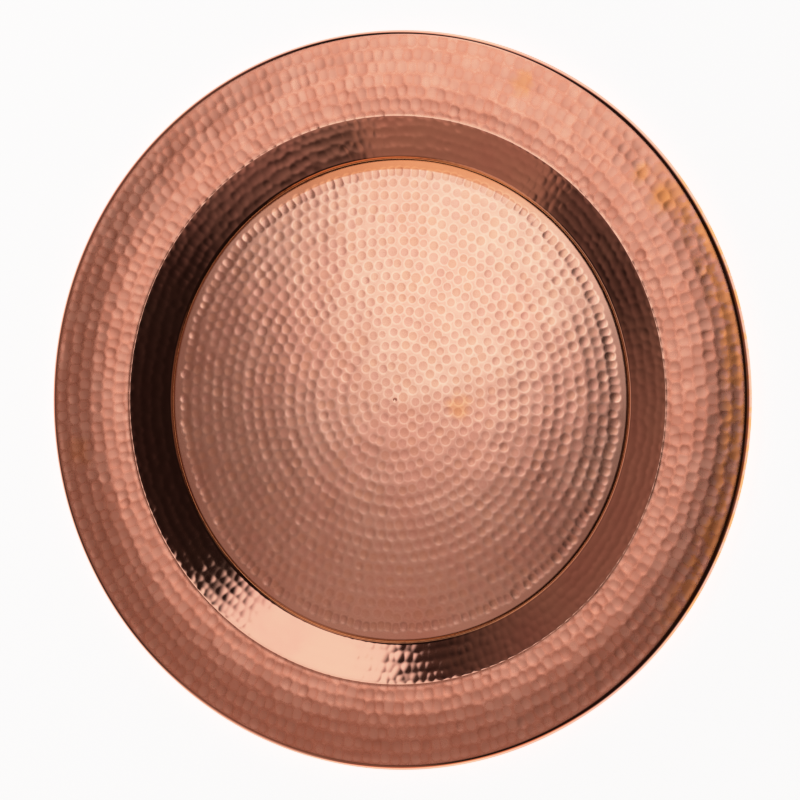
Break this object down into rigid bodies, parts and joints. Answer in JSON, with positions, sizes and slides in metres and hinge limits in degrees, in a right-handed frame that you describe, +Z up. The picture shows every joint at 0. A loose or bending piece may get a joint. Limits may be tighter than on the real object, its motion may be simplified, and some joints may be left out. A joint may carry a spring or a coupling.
{
  "type": "hammered copper tray",
  "caption": "Round hammered copper tray with a flat floor, a short sloping wall, a wide level brim and an edge rolled round a wire.",
  "frame": {"origin": "middle of the floor's underside, which the tray stands on", "axes": "+Z up along the tray's axis of revolution; X and Y lie in the floor, and no direction round the tray is special"},
  "size_m": [0.45, 0.45, 0.0129],
  "materials": {
    "hammered_copper": "hammered and polished copper",
    "wire_steel": "dull drawn wire"
  },
  "bodies": {
    "root": {"copper_sheet": "hammered_copper", "rim_wire": "wire_steel"}
  },
  "joints": []
}
